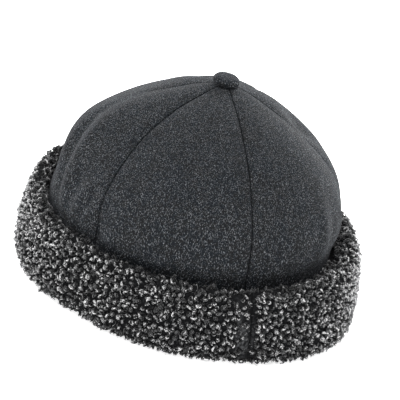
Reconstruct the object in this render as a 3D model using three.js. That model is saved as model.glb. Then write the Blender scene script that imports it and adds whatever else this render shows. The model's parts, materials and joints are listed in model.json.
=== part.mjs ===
// A brimless docker cap: six wool gores under a covered button, with a fleece cuff turned up round them.
// Millimetres, +Z up. The origin is on the ground in the middle of the cuff's foot, and the back seam is at -Y.
// A turn is an angle round the cap, in degrees: 0 at the back seam, 90 at the wearer's right-hand side (+X).
import * as THREE from "three";

// Crown
const crownHalfWidth = 87.5; // outside of the wool, where it comes out of the cuff
const crownHalfLength = 96;
const crownHeight = 134; // from the ground to the tips of the gores
const woolThickness = 2;
const seamGap = 0.3; // between two gores
const seamDip = 0.9; // how deep the sewn edges are drawn in
const seamDipWidth = 4;
const gorePuff = 1.3; // how far the middle of a gore stands out from the even dome
const tipLeanRight = 1.2; // where the button sits, off the middle of the foot
const tipLeanBack = 11.2;

// Button
const buttonRadius = 8;
const buttonThickness = 4.9;
const buttonShankRadius = 2.2;
const buttonShankLength = 4;
const buttonTilt = 6; // degrees, down at the back, as the tips of the gores slope there

// Cuff
const cuffHeight = 47.8;
const cuffThickness = 18; // the rolled fleece at its thickest, out from the wool
const cuffClearance = 0.4; // between the wool and the fleece
const hemLift = 5; // the gores' lower edges stand this high, in the cuff's fold
const hemGap = 0.3; // under those edges
const lipHeight = 13; // the short turning inside the head opening
const lipThickness = 3.6;
const joinDepth = 2.4; // the sewn join in the cuff, under the back seam
const joinWidth = 3.2;
const joinTopTurn = 2; // degrees: the join is sewn a little aslant
const joinFootTurn = 5;

// The even dome from hem to tip: rise is a share of crownHeight, reach a share of the half width and half length.
const crownSections = [
  { rise: 0.039, reach: 0.978 },
  { rise: 0.182, reach: 0.992 },
  { rise: 0.355, reach: 1.000 },
  { rise: 0.420, reach: 1.003 },
  { rise: 0.484, reach: 0.993 },
  { rise: 0.549, reach: 0.967 },
  { rise: 0.613, reach: 0.923 },
  { rise: 0.678, reach: 0.861 },
  { rise: 0.742, reach: 0.778 },
  { rise: 0.807, reach: 0.671 },
  { rise: 0.871, reach: 0.533 },
  { rise: 0.923, reach: 0.393 },
  { rise: 0.961, reach: 0.255 },
  { rise: 0.987, reach: 0.128 },
  { rise: 1.000, reach: 0.034 },
];

// The seams between the gores, as turns at the cuff and at the button, and the gore that starts at each.
const seams = [
  { gore: "gore_back_right", low: 2.5, high: -3 },
  { gore: "gore_right", low: 65, high: 67 },
  { gore: "gore_front_right", low: 120, high: 121 },
  { gore: "gore_front_left", low: 180, high: 180 },
  { gore: "gore_left", low: 241, high: 242 },
  { gore: "gore_back_left", low: 302, high: 291 },
];

// Soft folds and hollows in the wool: rise is a share of crownHeight, wide and long are half sizes and push is
// outwards, all three as shares of crownHeight.
const crownFolds = [
  { turn: 272, rise: 0.6, wide: 0.042, long: 0.2, push: 0.015 },
  { turn: 263, rise: 0.56, wide: 0.045, long: 0.21, push: -0.017 },
  { turn: 254, rise: 0.62, wide: 0.045, long: 0.2, push: 0.011 },
  { turn: 250, rise: 0.45, wide: 0.19, long: 0.14, push: -0.026 },
  { turn: 291, rise: 0.44, wide: 0.035, long: 0.11, push: 0.011 },
  { turn: 306, rise: 0.42, wide: 0.04, long: 0.13, push: 0.009 },
  { turn: 36, rise: 0.5, wide: 0.04, long: 0.15, push: 0.01 },
  { turn: 45, rise: 0.52, wide: 0.04, long: 0.15, push: -0.009 },
  { turn: 222, rise: 0.86, wide: 0.26, long: 0.17, push: -0.026 },
  { turn: 75, rise: 0.84, wide: 0.2, long: 0.16, push: -0.02 },
  { turn: 262, rise: 0.8, wide: 0.2, long: 0.16, push: 0.028 },
  { turn: 150, rise: 0.62, wide: 0.06, long: 0.2, push: -0.01 },
  { turn: 95, rise: 0.55, wide: 0.05, long: 0.18, push: 0.009 },
];

// The cuff's section from the inner side of its foot, out and up over its rim and back down to the wool.
// out is from the outside of the wool as a share of cuffThickness, up is a share of cuffHeight.
const cuffSections = [
  { out: 0.03, up: 0 },
  { out: 0.42, up: 0 },
  { out: 0.78, up: 0 },
  { out: 0.93, up: 0.05 },
  { out: 1.02, up: 0.14 },
  { out: 1.06, up: 0.27 },
  { out: 1.05, up: 0.41 },
  { out: 1.0, up: 0.56 },
  { out: 0.93, up: 0.7 },
  { out: 0.85, up: 0.83 },
  { out: 0.75, up: 0.93 },
  { out: 0.6, up: 0.99 },
  { out: 0.42, up: 1.0 },
  { out: 0.25, up: 0.96 },
  { out: 0.12, up: 0.88 },
];

// Swells and hollows of the soft cuff: wide is a half angle in degrees, push is outwards as a share of
// cuffThickness and lift is of the rim as a share of cuffHeight.
const cuffSwells = [
  { turn: 35, wide: 34, push: 0.38, lift: -0.01 },
  { turn: 125, wide: 34, push: 0.17, lift: 0.01 },
  { turn: 215, wide: 34, push: -0.1, lift: 0.01 },
  { turn: 305, wide: 32, push: -0.33, lift: 0.01 },
  { turn: 292, wide: 9, push: 0.05, lift: 0.04 },
  { turn: 318, wide: 8, push: 0.04, lift: 0.02 },
  { turn: 10, wide: 7, push: 0.04, lift: 0.02 },
  { turn: 192, wide: 12, push: -0.04, lift: 0.03 },
  { turn: 92, wide: 11, push: 0.04, lift: 0.02 },
];

// Where the faces are divided
const acrossSteps = [0, 0.03, 0.085, 0.17, 0.27, 0.38, 0.5, 0.62, 0.73, 0.83, 0.915, 0.97, 1];
const alongCount = 16;
const cuffTurns = [0, 1.2, 2.4, 4.2, 7.2, 11.5];
const cuffEvenStep = 5;
const buttonSides = 24;

const radians = THREE.MathUtils.degToRad;
const wool = material("charcoal wool", 0x3c3f43, 0.95);
const fleece = material("grey fleece", 0x4a4a4b, 1.0);

function material(name, color, roughness) {
  return new THREE.MeshStandardMaterial({ name, color, roughness, metalness: 0 });
}

// The dome's outline as a curve of reach against height, from hem to tip.
const meanHalf = (crownHalfWidth + crownHalfLength) / 2;
const domeOutline = new THREE.SplineCurve(
  crownSections.map((row) => new THREE.Vector2(row.reach * meanHalf, row.rise * crownHeight)),
);
domeOutline.arcLengthDivisions = 400;

// The reach of the dome at a height below its widest section, for what follows the wall inside the cuff.
function reachAt(height) {
  const rise = height / crownHeight;
  const rows = crownSections;
  const i = Math.min(Math.max(rows.findIndex((row) => row.rise > rise), 1), rows.length - 1);
  const share = (rise - rows[i - 1].rise) / (rows[i].rise - rows[i - 1].rise);
  return THREE.MathUtils.lerp(rows[i - 1].reach, rows[i].reach, share);
}

// A point of the oval at a turn, with a reach and a distance out from it.
function ovalPoint(turn, reach, out, height) {
  const angle = radians(turn);
  const lean = THREE.MathUtils.clamp((height - cuffHeight) / (crownHeight - cuffHeight), 0, 1);
  return new THREE.Vector3(
    Math.sin(angle) * (crownHalfWidth * reach + out) + tipLeanRight * lean,
    -Math.cos(angle) * (crownHalfLength * reach + out) - tipLeanBack * lean,
    height,
  );
}

// A point of the even dome, at a share of the way from hem to tip.
function domePoint(turn, along) {
  const at = domeOutline.getPointAt(along);
  return ovalPoint(turn, at.x / meanHalf, 0, at.y);
}

// The even dome's outward direction.
function domeNormal(turn, along) {
  const small = 0.002;
  const low = Math.max(along - small, 0);
  const high = Math.min(along + small, 1);
  const round = domePoint(turn + 0.2, along).sub(domePoint(turn - 0.2, along));
  const up = domePoint(turn, high).sub(domePoint(turn, low));
  return round.cross(up).normalize();
}

function turnBetween(a, b) {
  return THREE.MathUtils.euclideanModulo(a - b + 180, 360) - 180;
}

// A smooth hump that is 1 in the middle and 0.1 or so at 1.5 half sizes.
function hump(distance) {
  return Math.exp(-distance * distance);
}

// How far the wool stands out from the even dome: the puff of the gore, its drawn-in edges and the folds.
// round is the distance from the dome's middle.
// Inside the cuff it lies flat.
function woolRelief(turn, across, round, height) {
  const free = THREE.MathUtils.smoothstep(height, cuffHeight * 0.85, cuffHeight * 1.15);
  const fromTip = THREE.MathUtils.smoothstep(round, buttonRadius * 0.6, buttonRadius * 4);
  const goreWidth = (round * Math.PI * 2) / seams.length;
  const toEdge = Math.min(across, 1 - across) * goreWidth;
  const puff = gorePuff * Math.sin(Math.PI * across) * fromTip * free;
  const dip = -seamDip * hump(toEdge / seamDipWidth) * fromTip * free;
  let folds = 0;
  for (const fold of crownFolds) {
    const aside = radians(turnBetween(turn, fold.turn)) * Math.max(round, buttonRadius);
    const above = height - fold.rise * crownHeight;
    folds +=
      fold.push * crownHeight * hump(aside / (fold.wide * crownHeight)) * hump(above / (fold.long * crownHeight));
  }
  return puff + dip + folds * free * fromTip;
}

// One gore: a block whose width runs across, height runs from hem to tip, and thickness is the wool's.
function goreGeometry(from, to) {
  const columns = acrossSteps.length - 1;
  const geometry = new THREE.BoxGeometry(1, 1, 1, columns, alongCount, 1);
  const place = geometry.attributes.position;
  for (let i = 0; i < place.count; i++) {
    const across = acrossSteps[Math.round((place.getX(i) + 0.5) * columns)];
    const along = place.getY(i) + 0.5;
    const inside = 0.5 - place.getZ(i);
    const startTurn = THREE.MathUtils.lerp(from.low, from.high, along);
    const span = turnBetween(THREE.MathUtils.lerp(to.low, to.high, along), startTurn);
    const { x: round, y: height } = domeOutline.getPointAt(along);
    const edge = THREE.MathUtils.radToDeg(seamGap / 2 / Math.max(round, buttonShankRadius));
    const turn = startTurn + edge + (span - 2 * edge) * across;
    const point = domePoint(turn, along);
    const out = woolRelief(turn, across, round, height) - inside * woolThickness;
    point.addScaledVector(domeNormal(turn, along), out);
    place.setXYZ(i, point.x, point.y, point.z);
  }
  return geometry;
}

// The cuff's swells at a turn, outwards and up.
function cuffSwell(turn) {
  let push = 0;
  let lift = 0;
  for (const swell of cuffSwells) {
    const share = hump(turnBetween(turn, swell.turn) / swell.wide);
    push += swell.push * share * cuffThickness;
    lift += swell.lift * share * cuffHeight;
  }
  return { push, lift };
}

// The cuff's closed section: fleece outside, the wool's groove, and the short turning in the head opening.
function cuffProfile() {
  const outer = cuffSections.map((row) => ({ out: row.out * cuffThickness, up: row.up * cuffHeight }));
  const groove = hemLift - hemGap;
  const inner = -woolThickness - cuffClearance;
  const deep = inner - lipThickness;
  return [
    ...outer,
    { out: cuffClearance, up: cuffHeight * 0.76 },
    { out: cuffClearance, up: cuffHeight * 0.4 },
    { out: cuffClearance, up: groove },
    { out: inner, up: groove },
    { out: inner, up: lipHeight - lipThickness * 0.3 },
    { out: inner - lipThickness * 0.3, up: lipHeight },
    { out: deep + lipThickness * 0.3, up: lipHeight },
    { out: deep, up: lipHeight - lipThickness * 0.3 },
    { out: deep, up: lipThickness * 0.9 },
    { out: deep + lipThickness * 0.45, up: lipThickness * 0.25 },
    { out: outer[0].out - lipThickness * 0.4, up: 0 },
    outer[0],
  ];
}

function cuffGeometry() {
  const near = [...cuffTurns.slice(1).map((turn) => -turn).reverse(), ...cuffTurns];
  const last = cuffTurns.at(-1);
  const evenCount = Math.round((360 - 2 * last) / cuffEvenStep);
  const even = Array.from({ length: evenCount }, (_, i) => last + ((i + 1) * (360 - 2 * last)) / evenCount);
  const turns = [...near, ...even];
  const rows = cuffProfile();
  const outline = rows.map((row) => new THREE.Vector2(crownHalfLength + row.out, row.up));
  const geometry = new THREE.LatheGeometry(outline, turns.length - 1);
  const place = geometry.attributes.position;
  for (let i = 0; i < place.count; i++) {
    const turn = turns[Math.floor(i / rows.length)];
    const { out, up } = rows[i % rows.length];
    const high = up / cuffHeight;
    const outside = THREE.MathUtils.smoothstep(out, cuffThickness * 0.1, cuffThickness * 0.8);
    const fromJoin = radians(turnBetween(turn, 0)) * crownHalfLength;
    const slanted = turn + THREE.MathUtils.lerp(joinFootTurn, joinTopTurn, THREE.MathUtils.clamp(high, 0, 1));
    const swell = cuffSwell(slanted);
    const join = joinDepth * hump(fromJoin / joinWidth);
    const moved = out + (swell.push - join) * outside;
    const lifted = up + swell.lift * high * high * THREE.MathUtils.smoothstep(out, 0, cuffThickness * 0.3);
    const point = ovalPoint(slanted, reachAt(Math.max(up, hemLift)), moved, lifted);
    place.setXYZ(i, point.x, point.y, point.z);
  }
  return geometry;
}

// The covered button: a low cushion on a shank that goes down between the gores' tips.
function buttonGeometry() {
  const outline = new THREE.Path();
  const under = buttonThickness * 0.12;
  const side = buttonThickness * 0.5;
  outline.moveTo(0, -buttonShankLength);
  outline.lineTo(buttonShankRadius, -buttonShankLength);
  outline.lineTo(buttonShankRadius, under);
  outline.lineTo(buttonRadius * 0.72, under * 0.4);
  outline.quadraticCurveTo(buttonRadius, under * 0.4, buttonRadius, side);
  outline.quadraticCurveTo(buttonRadius, buttonThickness, 0, buttonThickness);
  const geometry = new THREE.LatheGeometry(outline.getPoints(4), buttonSides);
  return geometry.rotateX(Math.PI / 2);
}

const cap = new THREE.Group();
cap.name = "docker_cap";

function add(name, geometry, look) {
  const mesh = new THREE.Mesh(geometry, look);
  mesh.name = name;
  cap.add(mesh);
  return mesh;
}

seams.forEach((seam, i) => {
  add(seam.gore, goreGeometry(seam, seams[(i + 1) % seams.length]), wool);
});

const button = add("crown_button", buttonGeometry(), wool);
button.position.set(tipLeanRight, -tipLeanBack, crownHeight + 0.4);
button.rotation.x = radians(buttonTilt);

const cuff = add("cuff", cuffGeometry(), fleece);

// The swells are uneven, so the cap is moved to bring the middle of its foot over the origin.
const middle = new THREE.Box3().setFromObject(cuff).getCenter(new THREE.Vector3());
for (const piece of cap.children) {
  piece.position.x -= middle.x;
  piece.position.y -= middle.y;
}

export default cap;
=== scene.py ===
import json
import math
import random

import bpy
import numpy as np
from mathutils import Matrix, Vector, noise

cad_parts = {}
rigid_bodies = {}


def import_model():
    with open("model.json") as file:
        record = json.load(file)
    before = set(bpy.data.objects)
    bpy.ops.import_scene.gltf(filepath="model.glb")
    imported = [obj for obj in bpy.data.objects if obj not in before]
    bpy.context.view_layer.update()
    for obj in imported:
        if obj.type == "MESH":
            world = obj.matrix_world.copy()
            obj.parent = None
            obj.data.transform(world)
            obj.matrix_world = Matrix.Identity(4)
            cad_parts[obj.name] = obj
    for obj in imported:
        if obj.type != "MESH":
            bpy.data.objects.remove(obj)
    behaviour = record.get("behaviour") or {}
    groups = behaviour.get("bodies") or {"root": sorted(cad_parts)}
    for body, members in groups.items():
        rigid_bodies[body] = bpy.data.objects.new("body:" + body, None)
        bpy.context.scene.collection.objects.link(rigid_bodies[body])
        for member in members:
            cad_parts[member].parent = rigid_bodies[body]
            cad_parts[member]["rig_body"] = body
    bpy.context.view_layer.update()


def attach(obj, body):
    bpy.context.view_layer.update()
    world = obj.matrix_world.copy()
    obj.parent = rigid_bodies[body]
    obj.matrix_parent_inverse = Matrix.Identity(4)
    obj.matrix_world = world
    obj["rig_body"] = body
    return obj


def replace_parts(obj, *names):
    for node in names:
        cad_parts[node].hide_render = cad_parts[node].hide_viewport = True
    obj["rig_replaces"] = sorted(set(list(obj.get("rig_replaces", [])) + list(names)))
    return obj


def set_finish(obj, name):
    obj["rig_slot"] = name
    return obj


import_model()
mm = 0.001

# The cap's own measures, in millimetres. A turn is an angle round the cap: 0 at the back seam (-Y), 90 at +X.
cap = {
    "halfWidth": 87.5,
    "halfLength": 96.0,
    "height": 134.0,
    "cuffHeight": 47.8,
    "tipLean": (1.2, -11.2),  # where the button sits, off the middle of the oval
    "middle": (-2.0212, 1.7819),  # brings the middle of the cuff's foot over the origin
    "hemLift": 5.0,  # the gores' lower edge above the floor
    "buttonRadius": 8.0,
    "shankRadius": 2.2,  # under the button, between the gores' tips
}

# the even dome: rise as a share of the height, reach as a share of the half width and half length
domeSections = [
    (0.039, 0.978), (0.182, 0.992), (0.355, 1.000), (0.420, 1.003), (0.484, 0.993),
    (0.549, 0.967), (0.613, 0.923), (0.678, 0.861), (0.742, 0.778), (0.807, 0.671),
    (0.871, 0.533), (0.923, 0.393), (0.961, 0.255), (0.987, 0.128), (1.000, 0.034),
]
wallSections = 4  # the sections from the hem up to the top of the cuff


# Small tools

def deselectAll():
    if bpy.context.object and bpy.context.object.mode != "OBJECT":
        bpy.ops.object.mode_set(mode="OBJECT")
    bpy.ops.object.select_all(action="DESELECT")


def pick(obj):
    deselectAll()
    obj.select_set(True)
    bpy.context.view_layer.objects.active = obj


def applyAll(obj):
    pick(obj)
    for modifier in list(obj.modifiers):
        bpy.ops.object.modifier_apply(modifier=modifier.name)


def placesOf(mesh):
    places = np.empty(len(mesh.vertices) * 3)
    mesh.vertices.foreach_get("co", places)
    return places.reshape(-1, 3)


def setPlaces(mesh, places):
    mesh.vertices.foreach_set("co", np.ascontiguousarray(places, dtype=np.float32).ravel())
    mesh.update()


def pointNumber(mesh, name, values):
    attribute = mesh.attributes.new(name, "FLOAT", "POINT")
    attribute.data.foreach_set("value", np.ascontiguousarray(values, dtype=np.float32))


def recalcNormals(obj):
    pick(obj)
    bpy.ops.object.mode_set(mode="EDIT")
    bpy.ops.mesh.select_all(action="SELECT")
    bpy.ops.mesh.normals_make_consistent(inside=False)
    bpy.ops.object.mode_set(mode="OBJECT")


def smooth(value, low, high):
    share = np.clip((value - low) / (high - low), 0.0, 1.0)
    return share * share * (3 - 2 * share)


def hump(distance):
    return np.exp(-np.square(distance))


def turnBetween(a, b):
    return (a - b + 180.0) % 360.0 - 180.0


def noiseAt(points, size, seed=0.0):
    return np.array([noise.noise(Vector((p[0] / size + seed, p[1] / size, p[2] / size))) for p in points])


# The even dome

def traceDome(stepsEach=60):
    half = (cap["halfWidth"] + cap["halfLength"]) / 2
    rows = np.array([(reach * half, rise * cap["height"]) for rise, reach in domeSections])
    last = len(rows) - 1
    share = np.linspace(0, 1, stepsEach, endpoint=False)[:, None]
    line = []
    for i in range(last):
        a, b, c, d = rows[max(i - 1, 0)], rows[i], rows[i + 1], rows[min(i + 2, last)]
        start, end = (c - a) / 2, (d - b) / 2
        line.append((2 * b - 2 * c + start + end) * share ** 3
                    + (3 * c - 3 * b - 2 * start - end) * share ** 2 + start * share + b)
    line.append(rows[-1:])
    line = np.concatenate(line)
    length = np.concatenate([[0], np.cumsum(np.hypot(*np.diff(line, axis=0).T))])
    return line[:, 0], line[:, 1], length / length[-1], half


domeRound, domeHeight, domeShare, meanHalf = traceDome()


def domeAt(along):
    return np.interp(along, domeShare, domeRound), np.interp(along, domeShare, domeHeight)


def reachAt(height):
    rises, reaches = zip(*domeSections[:wallSections])
    return np.interp(np.asarray(height) / cap["height"], rises, reaches)


def ovalPoint(turn, reach, out, height):
    angle = np.radians(turn)
    lean = np.clip((height - cap["cuffHeight"]) / (cap["height"] - cap["cuffHeight"]), 0, 1)
    x = np.sin(angle) * (cap["halfWidth"] * reach + out) + cap["tipLean"][0] * lean + cap["middle"][0]
    y = -np.cos(angle) * (cap["halfLength"] * reach + out) + cap["tipLean"][1] * lean + cap["middle"][1]
    return np.stack([x, y, height + 0 * x], axis=-1)


def domePoint(turn, along):
    roundness, height = domeAt(along)
    return ovalPoint(turn, roundness / meanHalf, 0, height)


def domeNormal(turn, along):
    aside, step = 0.2, 0.002
    across = domePoint(turn + aside, along) - domePoint(turn - aside, along)
    up = domePoint(turn, np.minimum(along + step, 1)) - domePoint(turn, np.maximum(along - step, 0))
    normal = np.cross(across, up)
    return normal / np.linalg.norm(normal, axis=-1, keepdims=True)


# Camera, floor and light

view = {
    "azimuth": -24.37,
    "elevation": 23.61,
    "roll": 11.16,  # clockwise
    "distance": 1.188,
    "lens": 174.8,
    "film": 36.0,
    "nearest": 0.05,
    "centre": (0.0, 0.0, 0.0714),
    "aimRight": 0.0016,
    "aimUp": -0.01738,
    "floorSize": 8.0,
    "floorColour": (0.93, 0.93, 0.935, 1),
    "floorRoughness": 0.9,
    "floorGlow": 0.8,  # a table lit from below
    "skyStrength": 0.8,
    "white": (1, 1, 1, 1),
}

lamps = [
    # name, azimuth, elevation, distance, size, watts
    ("lampTop", -40, 74, 1.3, 0.7, 12),
    ("lampLeft", -148, 12, 1.3, 0.9, 12),
    ("lampRight", 122, 12, 1.3, 0.9, 13),
    ("lampBehind", 143, 34, 1.4, 0.8, 20),
]


def towards(azimuth, elevation):
    a, e = math.radians(azimuth), math.radians(elevation)
    return Vector((math.sin(a) * math.cos(e), -math.cos(a) * math.cos(e), math.sin(e)))


def addCamera():
    roll = math.radians(view["roll"])
    back = towards(view["azimuth"], view["elevation"])
    right = Vector((math.cos(math.radians(view["azimuth"])), math.sin(math.radians(view["azimuth"])), 0))
    up = back.cross(right)
    eye = Vector(view["centre"]) + back * view["distance"]
    aim = Vector(view["centre"]) + right * view["aimRight"] + up * view["aimUp"]
    bpy.ops.object.camera_add(location=eye)
    camera = bpy.context.object
    camera.name = "capCamera"
    camera.data.lens = view["lens"]
    camera.data.sensor_width = view["film"]
    camera.data.clip_start = view["nearest"]
    toEye = (eye - aim).normalized()
    side = (up * math.cos(roll) - right * math.sin(roll)).cross(toEye).normalized()
    camera.rotation_mode = "QUATERNION"
    camera.rotation_quaternion = Matrix((side, toEye.cross(side), toEye)).transposed().to_quaternion()
    bpy.context.scene.camera = camera


def addFloorAndLight():
    deselectAll()
    bpy.ops.mesh.primitive_plane_add(size=view["floorSize"], location=(0, 0, 0))
    floor = bpy.context.object
    floor.name = "floor"
    paper = bpy.data.materials.new("pale paper")
    paper.use_nodes = True
    finish = paper.node_tree.nodes["Principled BSDF"]
    finish.inputs["Base Color"].default_value = view["floorColour"]
    finish.inputs["Roughness"].default_value = view["floorRoughness"]
    finish.inputs["Emission Color"].default_value = view["white"]
    finish.inputs["Emission Strength"].default_value = view["floorGlow"]
    floor.data.materials.append(paper)
    for name, azimuth, elevation, distance, size, watts in lamps:
        where = towards(azimuth, elevation)
        bpy.ops.object.light_add(type="AREA", location=where * distance)
        lamp = bpy.context.object
        lamp.name = name
        lamp.data.size = size
        lamp.data.energy = watts
        lamp.rotation_euler = where.to_track_quat("Z", "Y").to_euler()
    sky = bpy.data.worlds.new("white room")
    sky.use_nodes = True
    glow = sky.node_tree.nodes["Background"]
    glow.inputs["Color"].default_value = view["white"]
    glow.inputs["Strength"].default_value = view["skyStrength"]
    bpy.context.scene.world = sky
    bpy.context.scene.view_settings.view_transform = "Standard"


addCamera()
addFloorAndLight()
print("camera, floor and light are in place")


# Materials

class NodeBench:
    def __init__(self, name):
        self.material = bpy.data.materials.new(name)
        self.material.use_nodes = True
        self.nodes = self.material.node_tree.nodes
        self.links = self.material.node_tree.links
        self.shader = self.nodes["Principled BSDF"]

    def add(self, kind, **settings):
        node = self.nodes.new(kind)
        for key, value in settings.items():
            setattr(node, key, value)
        return node

    def link(self, source, target):
        self.links.new(source, target)

    def noise(self, vector, scale, detail, roughness=0.5):
        node = self.add("ShaderNodeTexNoise")
        node.inputs["Scale"].default_value = scale
        node.inputs["Detail"].default_value = detail
        node.inputs["Roughness"].default_value = roughness
        self.link(vector, node.inputs["Vector"])
        return node.outputs["Fac"]

    def spread(self, value, low, high, toLow=0.0, toHigh=1.0):
        node = self.add("ShaderNodeMapRange", interpolation_type="SMOOTHSTEP")
        for key, number in (("From Min", low), ("From Max", high), ("To Min", toLow), ("To Max", toHigh)):
            node.inputs[key].default_value = number
        self.link(value, node.inputs["Value"])
        return node.outputs["Result"]

    def math(self, operation, a, b, clamp=False):
        node = self.add("ShaderNodeMath", operation=operation, use_clamp=clamp)
        self.link(a, node.inputs[0])
        if isinstance(b, float):
            node.inputs[1].default_value = b
        else:
            self.link(b, node.inputs[1])
        return node.outputs["Value"]

    def mix(self, factor, a, b):
        node = self.add("ShaderNodeMix", data_type="RGBA")
        self.link(factor, node.inputs[0])
        for slot, colour in ((6, a), (7, b)):  # the node's two colour sockets
            if isinstance(colour, tuple):
                node.inputs[slot].default_value = (*colour, 1)
            else:
                self.link(colour, node.inputs[slot])
        return node.outputs[2]

    def attribute(self, name):
        return self.add("ShaderNodeAttribute", attribute_name=name).outputs["Fac"]

    def place(self):
        return self.add("ShaderNodeTexCoord").outputs["Object"]

    def bump(self, height, strength, distance):
        node = self.add("ShaderNodeBump")
        node.inputs["Strength"].default_value = strength
        node.inputs["Distance"].default_value = distance
        self.link(height, node.inputs["Height"])
        self.link(node.outputs["Normal"], self.shader.inputs["Normal"])


woolLook = {
    "dark": (0.0050, 0.0060, 0.0074),
    "mid": (0.0125, 0.0160, 0.0202),
    "warm": (0.0166, 0.0168, 0.0168),
    "fleck": (0.235, 0.247, 0.265),
    # painted shade colour for the seam grooves
    "seamShadeColour": (0.003, 0.0035, 0.0045),
    "darkRange": (0.62, 0.38),
    "warmRange": (0.42, 0.58),
    "grainScale": 2300.0,
    "grainRoughness": 0.65,
    "fibreSize": (2500.0, 2500.0, 800.0),
    "fibreTurns": ((0, 0, 0), (90, 0, 20), (55, 30, 70), (35, -60, 130)),
    "fibreFrom": 0.70,
    "fibreFade": 0.14,
    "fibreRelief": 0.4,
    "mottleScale": 70.0,
    "mottleShare": 0.4,
    "tintScale": 480.0,
    "fleckShare": 0.9,
    "sheen": 0.03,
    "sheenRoughness": 0.3,
    "sheenTint": (0.86, 0.9, 1.0, 1),
    "seamPaintedShade": 0.75,
    "roughRange": (0.3, 0.7, 0.98, 0.86),
    "specular": 0.1,
    "bump": 0.6,
    "bumpDistance": 0.0005,
}


def makeWool(name, look):
    bench = NodeBench(name)
    place = bench.place()
    grain = bench.noise(place, look["grainScale"], 3.0, look["grainRoughness"])
    # short fibres lying every way: noise drawn out along a few directions, only its peaks kept
    fibres = None
    for turn in look["fibreTurns"]:
        lay = bench.add("ShaderNodeMapping")
        lay.inputs["Rotation"].default_value = [math.radians(angle) for angle in turn]
        lay.inputs["Scale"].default_value = look["fibreSize"]
        bench.link(place, lay.inputs["Vector"])
        drawn = bench.noise(lay.outputs["Vector"], 1.0, 0.0)
        piece = bench.spread(drawn, look["fibreFrom"], look["fibreFrom"] + look["fibreFade"])
        fibres = piece if fibres is None else bench.math("MAXIMUM", fibres, piece)
    # blue-grey and brown-grey fibres, mixed in broad patches and in fine ones
    broad = bench.math("MULTIPLY", bench.noise(place, look["mottleScale"], 3.0), look["mottleShare"])
    fine = bench.math("MULTIPLY", bench.noise(place, look["tintScale"], 1.0), 1 - look["mottleShare"])
    tint = bench.spread(bench.math("ADD", broad, fine), *look["warmRange"])
    base = bench.mix(tint, look["mid"], look["warm"])
    base = bench.mix(bench.spread(grain, *look["darkRange"]), base, look["dark"])
    base = bench.mix(bench.math("MULTIPLY", fibres, look["fleckShare"]), base, look["fleck"])
    # painted shade: the sewn edges are painted darker, standing in for the shade in the seam grooves
    seamPaintedShade = bench.math("MULTIPLY", bench.attribute("seam"), look["seamPaintedShade"])
    bench.link(bench.mix(seamPaintedShade, base, look["seamShadeColour"]), bench.shader.inputs["Base Color"])
    bench.link(bench.spread(grain, *look["roughRange"]), bench.shader.inputs["Roughness"])
    bench.shader.inputs["Specular IOR Level"].default_value = look["specular"]
    bench.shader.inputs["Sheen Weight"].default_value = look["sheen"]
    bench.shader.inputs["Sheen Roughness"].default_value = look["sheenRoughness"]
    bench.shader.inputs["Sheen Tint"].default_value = look["sheenTint"]
    height = bench.math("ADD", grain, bench.math("MULTIPLY", fibres, look["fibreRelief"]))
    bench.bump(height, look["bump"], look["bumpDistance"])
    return bench.material


fleeceLook = {
    # dark roots and pale tips: partly the fleece's own colour, partly painted shade deep in the pile and
    # painted light on the tips
    "root": (0.003, 0.0032, 0.0038),
    "middle": (0.077, 0.0785, 0.080),
    "tip": (0.77, 0.77, 0.775),
    "shadedRootRange": (0.0, 0.5),
    "tipRange": (0.45, 1.0),
    "shadeShare": 0.7,
    "shadeLeast": 0.45,
    "grainScale": 1500.0,
    "grainRange": (0.37, 0.63, 0.15, 1.45),
    "sideLightLift": 0.09,  # painted light: pales the roots too on the cuff's sides
    "roughness": 0.9,
    "specular": 0.12,
    "sheen": 0.3,
    "sheenRoughness": 0.4,
    "bump": 0.8,
    "bumpDistance": 0.0004,
}


def makeCurlFinish(look):
    bench = NodeBench("grey fleece curls")
    grain = bench.noise(bench.place(), look["grainScale"], 3.0, 0.6)
    # how far up its strand a place is (partly painted shade at the root and painted light at the tip), times
    # the strand's own shade, times the fine grain
    shade = bench.math("MULTIPLY", bench.attribute("shade"), look["shadeShare"])
    lift = bench.math("MULTIPLY", bench.attribute("tip"), bench.math("ADD", shade, look["shadeLeast"]))
    lift = bench.math("MULTIPLY", lift, bench.spread(grain, *look["grainRange"]))
    # painted shade and light from the fleece map, with the darker join and felt patch
    lift = bench.math("MULTIPLY", lift, bench.attribute("toneShadeAndLight"))
    # painted light on the cuff's sides
    sideLight = bench.math("MULTIPLY", bench.attribute("sideLight"), look["sideLightLift"])
    lift = bench.math("ADD", lift, sideLight, clamp=True)
    low = bench.mix(bench.spread(lift, *look["shadedRootRange"]), look["root"], look["middle"])
    colour = bench.mix(bench.spread(lift, *look["tipRange"]), low, look["tip"])
    bench.link(colour, bench.shader.inputs["Base Color"])
    bench.shader.inputs["Roughness"].default_value = look["roughness"]
    bench.shader.inputs["Specular IOR Level"].default_value = look["specular"]
    bench.shader.inputs["Sheen Weight"].default_value = look["sheen"]
    bench.shader.inputs["Sheen Roughness"].default_value = look["sheenRoughness"]
    bench.bump(grain, look["bump"], look["bumpDistance"])
    return bench.material


backingLook = {
    "dark": (0.0065, 0.0067, 0.0072),
    "pale": (0.0208, 0.02144, 0.02304),
    "paleRange": (0.5, 0.72),
    "grainScale": 900.0,
    "nap": (0.085, 0.087, 0.09),  # short felted fleece: beside the join and inside the opening
    "napScale": 420.0,
    "napRange": (0.4, 0.62),
    "roughness": 0.95,
    "specular": 0.05,
    "bump": 0.7,
    "bumpDistance": 0.0006,
}


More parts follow.
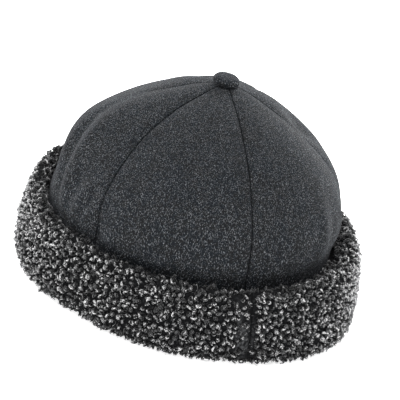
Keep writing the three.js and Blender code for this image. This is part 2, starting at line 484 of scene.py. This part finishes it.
def makeBackingFinish(look):
    bench = NodeBench("dark fleece backing")
    place = bench.place()
    grain = bench.noise(place, look["grainScale"], 3.0, 0.6)
    tufty = bench.noise(place, look["napScale"], 3.0, 0.6)
    plain = bench.mix(bench.spread(grain, *look["paleRange"]), look["dark"], look["pale"])
    nap = bench.mix(bench.spread(tufty, *look["napRange"]), look["dark"], look["nap"])
    bench.link(bench.mix(bench.attribute("nap"), plain, nap), bench.shader.inputs["Base Color"])
    bench.shader.inputs["Roughness"].default_value = look["roughness"]
    bench.shader.inputs["Specular IOR Level"].default_value = look["specular"]
    bench.bump(grain, look["bump"], look["bumpDistance"])
    return bench.material


wool = makeWool("charcoal wool", woolLook)
curlFinish = makeCurlFinish(fleeceLook)
backingFinish = makeBackingFinish(backingLook)
print("materials are mixed")


# The six gores

gore = {
    "thickness": 2.0,
    "gap": 0.04,
    "puff": 1.3,
    "freeFrom": 0.85,  # the relief starts here, in cuff heights, and is full at freeTo
    "freeTo": 1.15,
    "flatTip": (0.6, 4.0),  # and it fades out towards the button, in button radii
    "edgeDip": 0.9,  # how deep the sewn edges are drawn in
    "edgeDipWidth": 4.0,
    "edgeFit": 22.0,  # narrower than this, a gore's edges are drawn smaller
    "edgeRound": 0.62,
    "edgeDepth": 1.7,
    "edgeSteps": (0.0, 0.06, 0.22, 0.62, 1.4, 3.0),
    "pressedWidth": 6.0,  # the seam's turnings, pressed open under the wool
    "pressedRise": 0.22,
    "pressedFade": 0.7,
    "seamShadeWidth": 0.55,
    "seamShadeRises": (10.0, 60.0),
    "columns": 52,
    "rows": 124,
    "ripple": 0.45,
    "rippleSize": 26.0,
    "pucker": 0.3,
    "puckerSize": 8.0,
    "puckerStretch": 0.35,
    "puckerWidth": 7.0,
    "puckerSeed": 7.3,
    "rippleRises": (48.0, 62.0),
    "smoothAngle": 50.0,
}

# turn at the cuff and at the button, and how far the seam bows aside between them
seams = [
    ("gore_back_right", 2.5, -3, -2.0),
    ("gore_right", 65, 67, 3.0),
    ("gore_front_right", 120, 121, 0.5),
    ("gore_front_left", 180, 180, 0.0),
    ("gore_left", 241, 242, -0.5),
    ("gore_back_left", 302, 291, -2.0),
]

# turn, rise, wide, tall, push (shares of the cap's height) and slant (turn for each whole rise)
crownFolds = [
    (272, 0.6, 0.042, 0.2, 0.018, -22),
    (263, 0.56, 0.04, 0.21, -0.026, -36),
    (253, 0.61, 0.045, 0.2, 0.013, -30),
    (276, 0.56, 0.016, 0.07, 0.005, 8),
    (280.5, 0.5, 0.03, 0.12, -0.009, 5),
    (286, 0.49, 0.028, 0.11, 0.01, 20),
    (290, 0.47, 0.014, 0.1, -0.004, 30),
    (293.5, 0.47, 0.025, 0.12, 0.009, 25),
    (299, 0.38, 0.02, 0.08, -0.014, 0),
    (306, 0.42, 0.04, 0.13, 0.009, 0),
    (250, 0.45, 0.19, 0.14, -0.026, 0),
    (36, 0.5, 0.04, 0.15, 0.01, 0),
    (45, 0.52, 0.04, 0.15, -0.009, 0),
    (56, 0.5, 0.035, 0.13, 0.008, -12),
    (222, 0.86, 0.26, 0.17, -0.03, 0),
    (75, 0.84, 0.2, 0.16, -0.02, 0),
    (86, 0.82, 0.09, 0.06, -0.03, 0),
    (80, 0.6, 0.14, 0.14, 0.008, 0),
    (262, 0.8, 0.2, 0.16, 0.028, 0),
    (150, 0.62, 0.06, 0.2, -0.01, 0),
    (95, 0.55, 0.05, 0.18, 0.009, 0),
    (199, 0.93, 0.1, 0.05, 0.006, 0),
    (228, 0.64, 0.12, 0.1, 0.006, 0),
]


def woolRelief(turn, across, toEdge, roundness, height):
    free = smooth(height, cap["cuffHeight"] * gore["freeFrom"], cap["cuffHeight"] * gore["freeTo"])
    flat, full = gore["flatTip"]
    fromTip = smooth(roundness, cap["buttonRadius"] * flat, cap["buttonRadius"] * full)
    puff = gore["puff"] * np.sin(np.pi * across)
    dip = -gore["edgeDip"] * hump(toEdge / gore["edgeDipWidth"])
    fade, pressedWidth = gore["pressedFade"], gore["pressedWidth"]
    pressed = gore["pressedRise"] * smooth(toEdge, pressedWidth + fade, pressedWidth - fade)
    folds = 0
    for foldTurn, rise, wide, tall, push, slant in crownFolds:
        above = height - rise * cap["height"]
        middle = foldTurn + slant * above / cap["height"]
        aside = np.radians(turnBetween(turn, middle)) * np.maximum(roundness, cap["buttonRadius"])
        folds = folds + (push * cap["height"] * hump(aside / (wide * cap["height"]))
                         * hump(above / (tall * cap["height"])))
    return (puff + dip + pressed + folds) * free * fromTip


def seamTurn(seam, along):
    name, low, high, bow = seam
    return low + (high - low) * along + bow * 4 * along * (1 - along)


def distanceToEdge(column, columns, width, fit):
    # close columns at both edges, even ones between
    steps = np.array(gore["edgeSteps"])
    last = len(steps) - 1
    fromSide = np.minimum(column, columns - column)
    rim = steps[last] * fit
    even = rim + (width - 2 * rim) * (fromSide - last) / (columns - 2 * last)
    return np.where(fromSide <= last, steps[np.minimum(fromSide, last)] * fit, even)


def makeGore(seam, nextSeam):
    deselectAll()
    columns = gore["columns"]
    bpy.ops.mesh.primitive_grid_add(x_subdivisions=columns, y_subdivisions=gore["rows"], size=1)
    piece = bpy.context.object
    piece.name = seam[0] + "_wool"
    flat = placesOf(piece.data)
    column = np.rint((flat[:, 0] + 0.5) * columns).astype(int)
    along = flat[:, 1] + 0.5
    roundness, height = domeAt(along)
    start = seamTurn(seam, along)
    edge = np.degrees(gore["gap"] / 2 / np.maximum(roundness, cap["shankRadius"]))
    span = turnBetween(seamTurn(nextSeam, along), start) - 2 * edge
    width = np.radians(span) * roundness
    fit = np.minimum(1, width / gore["edgeFit"])
    toEdge = distanceToEdge(column, columns, width, fit)
    across = np.where(column <= columns / 2, toEdge / width, 1 - toEdge / width)
    turn = start + edge + span * across
    points = domePoint(turn, along)
    # puffed between the seams, folded, and turned in round the sewn edge
    lift = woolRelief(turn, across, toEdge, roundness, height)
    curve = np.clip(1 - toEdge / (gore["edgeRound"] * fit), 0, 1)
    lift = lift - gore["edgeDepth"] * fit * (1 - np.sqrt(1 - curve ** 2))
    free = smooth(height, *gore["rippleRises"])
    lift = lift + free * gore["ripple"] * noiseAt(points, gore["rippleSize"])
    stretch = np.array([gore["puckerStretch"], gore["puckerStretch"], 1.0])
    tug = noiseAt(points * stretch, gore["puckerSize"], gore["puckerSeed"])
    lift = lift + free * gore["pucker"] * tug * hump(toEdge / gore["puckerWidth"])
    setPlaces(piece.data, (points + domeNormal(turn, along) * lift[:, None]) * mm)
    # painted shade along the sewn edges, fading in up the crown
    pointNumber(piece.data, "seam", hump(toEdge / gore["seamShadeWidth"]) * smooth(height, *gore["seamShadeRises"]))
    wall = piece.modifiers.new("wall", "SOLIDIFY")
    wall.thickness = gore["thickness"] * mm
    wall.offset = -1
    applyAll(piece)
    bpy.ops.object.shade_smooth_by_angle(angle=math.radians(gore["smoothAngle"]))
    piece.data.materials.append(wool)
    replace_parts(piece, seam[0])
    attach(piece, "root")
    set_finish(piece, "wool")


for i, seam in enumerate(seams):
    makeGore(seam, seams[(i + 1) % len(seams)])
print("six gores are sewn")


# The covered button

button = {
    "thickness": 4.9,
    "tilt": 6.0,  # degrees, down at the back
    "lift": 134.8,
    "seat": 0.42,
    "over": 0.56,
    "under": 0.66,
    "underPower": 0.7,
    "rimPower": 0.8,
    "wave": 0.22,
    "waveScale": 6,
    "waveSize": 4.0,
    "waveSeed": 2.1,
    "segments": 64,
    "rings": 32,
    "gathers": 13,
    "gatherDepth": 0.28,
    "gatherSwing": 1.3,
    "gatherRises": (-0.25, 0.6),
    "shankLength": 3.6,
    "shankTop": 0.9,
    "shankBevel": 0.4,
    "shankSides": 20,
}


def makeButton():
    deselectAll()
    bpy.ops.mesh.primitive_uv_sphere_add(segments=button["segments"], ring_count=button["rings"], radius=1)
    cushion = bpy.context.object
    cushion.name = "crown_button_cover"
    ball = placesOf(cushion.data)
    side = np.hypot(ball[:, 0], ball[:, 1])
    angle = np.arctan2(ball[:, 1], ball[:, 0])
    # a cushion: full round the rim, flatter above, nearly flat below
    below = np.abs(ball[:, 2]) ** button["underPower"] * button["under"]
    height = np.where(ball[:, 2] > 0, ball[:, 2] * button["over"], -below) * button["thickness"]
    gathers = np.sin(angle * button["gathers"] + button["gatherSwing"] * np.sin(angle * 3))
    gathers = gathers * button["gatherDepth"] * smooth(-ball[:, 2], *button["gatherRises"]) * side
    reach = cap["buttonRadius"] * np.clip(side, 0, 1) ** button["rimPower"] + gathers
    height = height + button["seat"] * button["thickness"]
    wave = noiseAt(ball * button["waveScale"], button["waveSize"], button["waveSeed"])
    height = height + wave * button["wave"]
    places = np.stack([np.cos(angle) * reach, np.sin(angle) * reach, height], -1)
    tilt = Matrix.Rotation(math.radians(button["tilt"]), 3, "X")
    centre = np.array(cap["tipLean"] + (0.0,)) + np.array(cap["middle"] + (button["lift"],))
    setPlaces(cushion.data, (places @ np.array(tilt).T + centre) * mm)
    # the shank, drawn down between the tips of the gores
    deselectAll()
    shankPlace = centre + [0, 0, button["shankTop"] - 0.5 * button["shankLength"]]
    bpy.ops.mesh.primitive_cylinder_add(vertices=button["shankSides"], radius=cap["shankRadius"] * mm,
                                        depth=button["shankLength"] * mm, location=shankPlace * mm)
    shank = bpy.context.object
    bpy.ops.object.transform_apply(location=True, rotation=True, scale=True)
    bpy.ops.object.mode_set(mode="EDIT")
    bpy.ops.mesh.select_all(action="SELECT")
    bpy.ops.mesh.bevel(offset=button["shankBevel"] * mm, segments=2)
    bpy.ops.object.mode_set(mode="OBJECT")
    deselectAll()
    shank.select_set(True)
    cushion.select_set(True)
    bpy.context.view_layer.objects.active = cushion
    bpy.ops.object.join()
    bpy.ops.object.shade_smooth()
    cushion.data.materials.clear()
    cushion.data.materials.append(wool)
    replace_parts(cushion, "crown_button")
    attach(cushion, "root")
    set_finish(cushion, "button_wool")


makeButton()
print("button is covered")


# The cuff's backing

cuff = {
    "thickness": 18.0,
    "clearance": 0.4,
    "fleeceFrom": 0.6,  # the fleece side starts this far out from the wool
    "wool": 2.0,
    "hemGap": 0.3,
    "lipHeight": 13.0,
    "lipThickness": 3.6,
    "grooveTop": 0.76,  # the inner face's top, as a share of the height
    "ground": 0.6,  # the backing stays this far above the floor
    "joinDepth": 2.6,
    "joinWidth": 1.3,
    "joinRises": (0.08, 0.2),
    "joinCrowd": 0.6,  # draws the columns together at the join
    "joinTopTurn": -0.4,
    "joinFootTurn": 1.8,
    "inset": 2.3,  # the backing lies this far under the tops of the curls
    "footInset": 0.8,
    "footRows": 8,
    "lineRows": 46,
    "around": 240,
    "smoothAngle": 60.0,
    "fill": 0.6,
}

# out as a share of the thickness, up as a share of the height
cuffSections = [
    (0.03, 0), (0.42, 0), (0.78, 0), (0.93, 0.05), (1.02, 0.14), (1.06, 0.27), (1.05, 0.41), (1.0, 0.56),
    (0.93, 0.7), (0.85, 0.83), (0.75, 0.93), (0.6, 0.99), (0.42, 1.0), (0.25, 0.96), (0.12, 0.88),
]

# turn, wide, push, lift
cuffSwells = [
    (35, 34, 0.38, -0.01), (125, 34, 0.17, 0.01), (215, 34, -0.1, 0.01), (305, 32, -0.33, 0.01),
    (292, 9, 0.05, 0.04), (318, 8, 0.04, 0.02), (10, 7, 0.04, 0.02), (192, 12, -0.04, 0.03),
    (82, 15, 0.08, 0.03), (228, 12, 0.0, 0.1), (278, 14, 0.04, 0.0),
]

# local spreads: turn, wide, push in millimetres, and the rises between which each one grows
cuffSpreads = [
    (33, 20, 3.2, 0.5, 0.1), (322, 34, 2.3, 0.5, 0.1), (268, 20, 1.4, 0.5, 0.1), (72, 15, 0.8, 0.5, 0.95),
]


def outerLine():
    # the fleece side, finer than the sections and drawn in by the curls' height
    rows = np.array([(out * cuff["thickness"], up * cap["cuffHeight"]) for out, up in cuffSections])
    length = np.concatenate([[0], np.cumsum(np.hypot(*np.diff(rows, axis=0).T))])
    even = np.linspace(0, length[-1], cuff["lineRows"])
    line = np.stack([np.interp(even, length, rows[:, 0]), np.interp(even, length, rows[:, 1])], -1)
    for _ in range(3):
        line[1:-1] = (line[:-2] + 2 * line[1:-1] + line[2:]) / 4
    along = np.gradient(line, axis=0)
    along = along / np.linalg.norm(along, axis=1, keepdims=True)
    inward = np.stack([-along[:, 1], along[:, 0]], -1)
    inset = np.full(len(line), cuff["inset"])
    inset[:cuff["footRows"]] = np.linspace(cuff["footInset"], cuff["inset"], cuff["footRows"])
    line = line + inward * inset[:, None]
    line[:, 0] = np.maximum(line[:, 0], cuff["fleeceFrom"])
    line[:, 1] = np.maximum(line[:, 1], cuff["ground"])
    return line, even / length[-1]


def cuffLine():
    # on from the fleece: down the inner face, round the gores' hem, and over the turning in the opening
    fleeceLine, share = outerLine()
    outer, groove = cuff["clearance"], cap["hemLift"] - cuff["hemGap"]
    inner = -cuff["wool"] - cuff["clearance"]
    lip, lipTop = cuff["lipThickness"], cuff["lipHeight"]
    deep = inner - lip
    rest = [
        (outer, cap["cuffHeight"] * cuff["grooveTop"]), (outer, cap["cuffHeight"] * 0.4),
        (outer, groove), (inner, groove), (inner, lipTop - lip * 0.3),
        (inner - lip * 0.3, lipTop), (deep + lip * 0.3, lipTop),
        (deep, lipTop - lip * 0.3), (deep, lipTop * 0.6), (deep, lip * 0.9),
        (deep + lip * 0.45, lip * 0.35), (-lip * 0.4, cuff["ground"]),
    ]
    return np.concatenate([fleeceLine, np.array(rest)]), share


def cuffPoint(turn, out, up):
    high = up / cap["cuffHeight"]
    outside = smooth(out, cuff["thickness"] * 0.1, cuff["thickness"] * 0.8)
    fromJoin = np.radians(turnBetween(turn, 0)) * cap["halfLength"]
    slanted = turn + cuff["joinFootTurn"] + (cuff["joinTopTurn"] - cuff["joinFootTurn"]) * np.clip(high, 0, 1)
    push, lift = 0, 0
    for swellTurn, wide, swellPush, swellLift in cuffSwells:
        share = hump(turnBetween(slanted, swellTurn) / wide)
        push = push + swellPush * share * cuff["thickness"]
        lift = lift + swellLift * share * cap["cuffHeight"]
    for swellTurn, wide, swellPush, none, full in cuffSpreads:
        push = push + swellPush * hump(turnBetween(slanted, swellTurn) / wide) * smooth(high, none, full)
    join = hump(fromJoin / cuff["joinWidth"]) * smooth(high, *cuff["joinRises"])
    moved = out + (push - cuff["joinDepth"] * join) * outside
    lifted = up + lift * high * high * smooth(out, 0, cuff["thickness"] * 0.3)
    place = ovalPoint(slanted, reachAt(np.maximum(up, cap["hemLift"])), moved, lifted)
    return place, high, fromJoin, join


# Where the curls stand thinner, shorter or darker, with painted shade in the turn beside the wool and on the
# inner rim and painted light on the sides. A spot has a turn and a width; a band runs between two ways along
# the fleece side, 0 at the foot and 1 in the turn beside the wool.
fleeceMap = {
    "spots": {
        "atBack": (-15, 48), "atRight": (48, 30), "atLeft": (-112, 26),
        # where painted light pales the cuff's sides
        "sideLitRight": (67, 28), "sideLitLeft": (-110, 26),
    },
    "bands": {"foot": (0.13, 0.05), "top": (0.74, 0.88), "loops": (0.82, 0.9), "innerRim": (0.86, 0.97)},
    "feltEdges": ((-10.5, -8.0), (2.0, 0.5)),  # the flattened patch left of the join, in millimetres from it
    "feltRise": 0.4,
    "feltTall": 0.3,
    "feltNap": 0.8,
    "creaseWidth": 1.0,
    "thinner": {"join": 0.8, "felt": 0.45, "innerRim": 0.3, "innerRimAtBack": 0.4},
    "shorter": {"join": 0.4, "felt": 0.3, "innerRimAtBack": 0.35, "foot": 0.15},
    "shortest": 0.2,
    # darker at the join, on the felt patch and towards the foot; painted shade in the turn beside the wool,
    # less on the sides, and on the inner rim
    "darkerToneAndShade": {
        "join": 0.45, "felt": 0.06, "top": 0.3, "topAtBack": 0.15, "topAtRight": -0.28, "topAtLeft": -0.25,
        "innerRim": 0.34, "foot": 0.3,
    },
    "darkest": 0.05,
    "paintedSideLight": (1.8, 0.8),  # right and left side
    "sideLightLessAtTop": (1.0, 0.4),  # right and left side
    "sideLightPaleness": 0.42,
    "loopsEach": 0.08,
    "loopsAtRim": 0.9,
    "loopsLessAtBack": 0.75,
}


def guideCurls(mesh, turn, along, high, fromJoin, join, onFleece, inOpening):
    zone = {}
    for name, (middle, wide) in fleeceMap["spots"].items():
        zone[name] = hump(turnBetween(turn, middle) / wide)
    for name, (none, full) in fleeceMap["bands"].items():
        zone[name] = smooth(along, none, full)
    left, right = fleeceMap["feltEdges"]
    felt = smooth(fromJoin, *left) * smooth(fromJoin, *right)
    zone["felt"] = felt * hump((high - fleeceMap["feltRise"]) / fleeceMap["feltTall"])
    zone["join"] = join
    zone["innerRimAtBack"] = zone["innerRim"] * zone["atBack"]
    for name, side in (("topAtBack", "atBack"), ("topAtRight", "atRight"), ("topAtLeft", "atLeft")):
        zone[name] = zone["top"] * zone[side]
    thinner = fleeceMap["thinner"]
    rimThinner = thinner["innerRim"] * zone["innerRim"] + thinner["innerRimAtBack"] * zone["innerRimAtBack"]
    thick = onFleece * (1 - thinner["join"] * join) * (1 - thinner["felt"] * zone["felt"]) * (1 - rimThinner)
    tall = 1 - sum(share * zone[name] for name, share in fleeceMap["shorter"].items())
    toneShadeAndLight = 1 - sum(share * zone[name] for name, share in fleeceMap["darkerToneAndShade"].items())
    # painted light: the sides are painted paler, on the left up over the rim
    right, left = fleeceMap["paintedSideLight"]
    lessRight, lessLeft = fleeceMap["sideLightLessAtTop"]
    sideLight = right * zone["sideLitRight"] * (1 - lessRight * zone["top"])
    sideLight = sideLight + left * zone["sideLitLeft"] * (1 - lessLeft * zone["top"])
    toneShadeAndLight = toneShadeAndLight * (1 + fleeceMap["sideLightPaleness"] * sideLight)
    loopsAtRim = fleeceMap["loopsAtRim"] - fleeceMap["loopsLessAtBack"] * zone["atBack"]
    loopShare = onFleece * (fleeceMap["loopsEach"] + zone["loops"] * loopsAtRim)
    crease = hump(fromJoin / fleeceMap["creaseWidth"])
    pointNumber(mesh, "thick", np.clip(thick, 0, 1))
    pointNumber(mesh, "loopShare", np.clip(loopShare, 0, 1))
    pointNumber(mesh, "tall", np.clip(tall, fleeceMap["shortest"], 1))
    pointNumber(mesh, "toneShadeAndLight", np.maximum(toneShadeAndLight, fleeceMap["darkest"]))
    pointNumber(mesh, "sideLight", sideLight * onFleece)
    pointNumber(mesh, "nap", np.maximum(inOpening, fleeceMap["feltNap"] * zone["felt"] * (1 - crease)))


def makeBacking():
    line, share = cuffLine()
    fleeceCount = len(share)
    deselectAll()
    bpy.ops.mesh.primitive_torus_add(major_radius=0.1, minor_radius=0.01, major_segments=cuff["around"],
                                     minor_segments=len(line))
    backing = bpy.context.object
    backing.name = "cuff_backing"
    number = np.arange(len(backing.data.vertices))
    row = number % len(line)
    turn = (number // len(line)) * 360.0 / cuff["around"]
    turn = turn - cuff["joinCrowd"] * np.degrees(np.sin(np.radians(turn)))
    points, high, fromJoin, join = cuffPoint(turn, line[row, 0], line[row, 1])
    setPlaces(backing.data, points * mm)
    recalcNormals(backing)
    onFleece = row < fleeceCount
    along = np.where(onFleece, share[np.minimum(row, fleeceCount - 1)], 0)
    inOpening = smooth(row, fleeceCount + 2, fleeceCount + 4)
    guideCurls(backing.data, turn, along, high, fromJoin, join, onFleece, inOpening)
    bpy.ops.object.shade_smooth_by_angle(angle=math.radians(cuff["smoothAngle"]))
    backing.data.materials.clear()
    backing.data.materials.append(backingFinish)
    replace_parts(backing, "cuff")
    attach(backing, "root")
    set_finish(backing, "fleece")
    return backing


backing = makeBacking()
print("cuff backing is turned up")


# The fleece's curls

# each clump has a thick lock in its middle and fine curled strands over it
lock = {
    "kinds": 4,
    "strands": 1,
    "turns": (0.6, 0.9),
    "loop": (0.95, 1.3),
    "rise": (0.6, 1.2),
    "thread": (0.42, 0.56),
    "steps": 5,
    "sides": 4,
    "roll": (35, 80),  # how far a strand's loop stands up
    "gather": 0.3,
    "sink": 0.6,
    "apart": 3.0,
    "sizes": (0.9, 1.25),
    "tilt": 0.45,
    "seed": 5,
    "brightest": 0.4,
}
curl = {
    "kinds": 6,
    "strands": 4,
    "turns": (0.45, 0.85),
    "loop": (0.9, 1.7),
    "rise": (0.7, 1.7),
    "thread": (0.25, 0.33),
    "steps": 5,
    "sides": 3,
    "roll": (10, 85),
    "gather": 0.2,
    "sink": 0.2,
    "apart": 3.0,
    "sizes": (0.95, 1.3),
    "tilt": 0.35,
    "seed": 5,
}

# short strands between the clumps
between = {
    "kinds": 4,
    "strands": 2,
    "turns": (0.5, 0.85),
    "loop": (0.7, 1.2),
    "rise": (0.4, 0.9),
    "thread": (0.24, 0.32),
    "steps": 5,
    "sides": 3,
    "roll": (10, 70),
    "gather": 0.2,
    "sink": 0.3,
    "apart": 3.1,
    "sizes": (0.85, 1.2),
    "tilt": 0.4,
    "seed": 11,
    "brightest": 0.5,
}

# longer loops in the turn between the cuff and the wool
loop = {
    "kinds": 4,
    "strands": 2,
    "turns": (0.5, 0.8),
    "loop": (1.4, 2.1),
    "rise": (0.7, 1.3),
    "thread": (0.40, 0.52),
    "steps": 8,
    "sides": 4,
    "roll": (40, 70),
    "gather": 0.1,
    "sink": 0.5,
    "apart": 3.3,
    "sizes": (0.8, 1.2),
    "tilt": 0.4,
    "seed": 8,
}

# single hairs that stand out of the pile
hair = {
    "kinds": 4,
    "strands": 1,
    "turns": (0.25, 0.5),
    "loop": (2.0, 3.4),
    "rise": (0.6, 1.8),
    "thread": (0.1, 0.14),
    "steps": 8,
    "sides": 3,
    "roll": (30, 80),
    "gather": 0.1,
    "sink": 0.3,
    "apart": 8.0,
    "sizes": (0.8, 1.25),
    "tilt": 0.5,
    "seed": 17,
}

pile = {
    "names": ("back", "right", "front_right", "front_left", "left"),
    "floorGap": 0.15,
    "crowd": 3.0,  # points tried for each one kept
    "centring": 0.75,  # how nearly a strand is centred on its own root
    "tipRange": (0.18, 0.97),  # the root's dark colour and painted shade end and the tip's pale colour and painted light are full, as shares of a tuft's height
}


def makeStrand(look, chance):
    turns, radius, rise, thread = (chance.uniform(*look[k]) for k in ("turns", "loop", "rise", "thread"))
    deselectAll()
    bpy.ops.mesh.primitive_circle_add(vertices=look["sides"], radius=thread, location=(radius, 0, 0),
                                      rotation=(math.pi / 2, 0, 0))
    bpy.ops.object.transform_apply(location=True, rotation=True, scale=True)
    strand = bpy.context.object
    coil = strand.modifiers.new("coil", "SCREW")
    coil.angle = turns * math.tau
    coil.screw_offset = rise
    coil.steps = coil.render_steps = look["steps"]
    coil.use_smooth_shade = True
    applyAll(strand)
    bpy.ops.object.mode_set(mode="EDIT")
    bpy.ops.mesh.select_all(action="SELECT")
    bpy.ops.mesh.fill_holes(sides=look["sides"])
    bpy.ops.mesh.select_all(action="SELECT")
    bpy.ops.mesh.normals_make_consistent(inside=False)
    bpy.ops.object.mode_set(mode="OBJECT")
    places = placesOf(strand.data)
    fromAxis = np.hypot(places[:, 0], places[:, 1])
    inwards = look["gather"] * radius * np.clip(places[:, 2] / rise, 0, 1)
    places[:, :2] *= ((fromAxis - inwards) / fromAxis)[:, None]
    stand = Matrix.Rotation(math.radians(chance.uniform(*look["roll"])), 3, "X")
    spin = Matrix.Rotation(chance.uniform(0, math.tau), 3, "Z")
    spun = Matrix.Rotation(chance.uniform(0, math.tau), 3, "Z")
    places = places @ np.array(spin @ stand @ spun).T
    places[:, :2] -= places[:, :2].mean(axis=0) * pile["centring"]
    places[:, 2] -= places[:, 2].min() + look["sink"]
    setPlaces(strand.data, places * mm)
    return strand


def makeTuft(name, look, chance):
    strands = [makeStrand(look, chance) for _ in range(look["strands"])]
    deselectAll()
    for strand in strands:
        strand.select_set(True)
    bpy.context.view_layer.objects.active = strands[0]
    bpy.ops.object.join()
    tuft = bpy.context.object
    tuft.name = name
    # darker at the root and paler at the tip of each tuft: partly the fleece's own colour, partly painted
    # shade and painted light
    height = placesOf(tuft.data)[:, 2]
    low, high = pile["tipRange"]
    pointNumber(tuft.data, "tip", smooth(height, low * height.max(), high * height.max()))
    tuft.data.materials.append(curlFinish)
    return tuft


def tuftCollection(name, look):
    folder = bpy.data.collections.new(name)
    bpy.context.scene.collection.children.link(folder)
    chance = random.Random(look["seed"])
    for i in range(look["kinds"]):
        tuft = makeTuft(f"{name}_{i}", look, chance)
        for old in list(tuft.users_collection):
            old.objects.unlink(tuft)
        folder.objects.link(tuft)
    return folder


class ScatterBench:
    def __init__(self, name):
        self.tree = bpy.data.node_groups.new(name, "GeometryNodeTree")
        self.tree.interface.new_socket("Geometry", in_out="INPUT", socket_type="NodeSocketGeometry")
        self.tree.interface.new_socket("Geometry", in_out="OUTPUT", socket_type="NodeSocketGeometry")
        self.entry = self.tree.nodes.new("NodeGroupInput")
        self.exit = self.tree.nodes.new("NodeGroupOutput")

    def add(self, kind, **settings):
        node = self.tree.nodes.new(kind)
        for key, value in settings.items():
            setattr(node, key, value)
        return node

    def link(self, source, target):
        self.tree.links.new(source, target)

    def attribute(self, name, kind="FLOAT"):
        node = self.add("GeometryNodeInputNamedAttribute", data_type=kind)
        node.inputs["Name"].default_value = name
        return node.outputs["Attribute"]

    def random(self, low, high, seed, kind="FLOAT"):
        node = self.add("FunctionNodeRandomValue", data_type=kind)
        slots = {"FLOAT_VECTOR": (0, 1, 0), "FLOAT": (2, 3, 1), "INT": (4, 5, 2)}[kind]
        node.inputs[slots[0]].default_value = low
        node.inputs[slots[1]].default_value = high
        node.inputs["Seed"].default_value = seed
        return node.outputs[slots[2]]

    def multiply(self, a, b):
        node = self.add("ShaderNodeMath", operation="MULTIPLY")
        self.link(a, node.inputs[0])
        self.link(b, node.inputs[1])
        return node.outputs[0]

    def scatter(self, sector, folder, look, share):
        apart, tilt, seed = look["apart"], look["tilt"], look["seed"] * 10 + sector
        inSector = self.add("FunctionNodeCompare", data_type="INT", operation="EQUAL")
        self.link(self.attribute("sector", "INT"), inSector.inputs[2])
        inSector.inputs[3].default_value = sector
        points = self.add("GeometryNodeDistributePointsOnFaces", distribute_method="POISSON")
        self.link(self.entry.outputs[0], points.inputs["Mesh"])
        self.link(inSector.outputs[0], points.inputs["Selection"])
        points.inputs["Distance Min"].default_value = apart * mm
        points.inputs["Density Max"].default_value = pile["crowd"] / (apart * mm) ** 2
        points.inputs["Seed"].default_value = seed
        self.link(self.attribute(share), points.inputs["Density Factor"])
        info = self.add("GeometryNodeCollectionInfo")
        info.inputs["Collection"].default_value = folder
        info.inputs["Separate Children"].default_value = True
        info.inputs["Reset Children"].default_value = True
        place = self.add("GeometryNodeInstanceOnPoints")
        self.link(points.outputs["Points"], place.inputs["Points"])
        self.link(info.outputs[0], place.inputs["Instance"])
        place.inputs["Pick Instance"].default_value = True
        self.link(self.random(0, look["kinds"] - 1, seed + 1, "INT"), place.inputs["Instance Index"])
        turn = self.add("FunctionNodeEulerToRotation")
        leaning = self.random((-tilt, -tilt, 0), (tilt, tilt, math.tau), seed + 2, "FLOAT_VECTOR")
        self.link(leaning, turn.inputs[0])
        local = self.add("FunctionNodeRotateRotation", rotation_space="LOCAL")
        self.link(points.outputs["Rotation"], local.inputs[0])
        self.link(turn.outputs[0], local.inputs[1])
        self.link(local.outputs[0], place.inputs["Rotation"])
        size = self.multiply(self.random(*look["sizes"], seed + 3), self.attribute("tall"))
        self.link(size, place.inputs["Scale"])
        shade = self.add("GeometryNodeStoreNamedAttribute", data_type="FLOAT", domain="INSTANCE")
        self.link(place.outputs[0], shade.inputs["Geometry"])
        shade.inputs["Name"].default_value = "shade"
        self.link(self.random(0.0, look.get("brightest", 1.0), seed + 4), shade.inputs["Value"])
        return shade.outputs[0]


def markSectors(mesh, sectors):
    centres = np.empty(len(mesh.polygons) * 3)
    mesh.polygons.foreach_get("center", centres)
    centres = centres.reshape(-1, 3)
    turn = np.degrees(np.arctan2(centres[:, 0], -centres[:, 1])) + 180 / sectors
    attribute = mesh.attributes.new("sector", "INT", "FACE")
    attribute.data.foreach_set("value", np.floor((turn % 360) * sectors / 360).astype(np.int32))


def makeFleece(sector, where, folders):
    bench = ScatterBench("pile " + where)
    join = bench.add("GeometryNodeJoinGeometry")
    for folder, look, share in folders:
        bench.link(bench.scatter(sector, folder, look, share), join.inputs[0])
    real = bench.add("GeometryNodeRealizeInstances")
    bench.link(join.outputs[0], real.inputs[0])
    bench.link(real.outputs[0], bench.exit.inputs[0])
    pick(backing)
    bpy.ops.object.duplicate()
    fleece = bpy.context.object
    fleece.name = "fleece_curls_" + where
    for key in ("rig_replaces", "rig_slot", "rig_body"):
        if key in fleece:
            del fleece[key]
    fleece.parent = None
    fleece.modifiers.new("pile", "NODES").node_group = bench.tree
    applyAll(fleece)
    # nothing reaches under the floor
    places = placesOf(fleece.data)
    places[:, 2] = np.maximum(places[:, 2], pile["floorGap"] * mm)
    setPlaces(fleece.data, places)
    fleece.data.materials.clear()
    fleece.data.materials.append(curlFinish)
    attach(fleece, "root")
    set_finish(fleece, "fleece")
    print(fleece.name, sum(len(face.vertices) - 2 for face in fleece.data.polygons), "triangles")


def makePile():
    tufts = [("locks", lock, "thick"), ("curls", curl, "thick"), ("strays", between, "thick"),
             ("loops", loop, "loopShare"), ("hairs", hair, "thick")]
    folders = [(tuftCollection(name, look), look, share) for name, look, share in tufts]
    markSectors(backing.data, len(pile["names"]))
    for sector, where in enumerate(pile["names"]):
        makeFleece(sector, where, folders)
    for folder, look, share in folders:
        for tuft in list(folder.objects):
            bpy.data.objects.remove(tuft, do_unlink=True)
        bpy.data.collections.remove(folder)


makePile()
print("fleece is curled")


deselectAll()
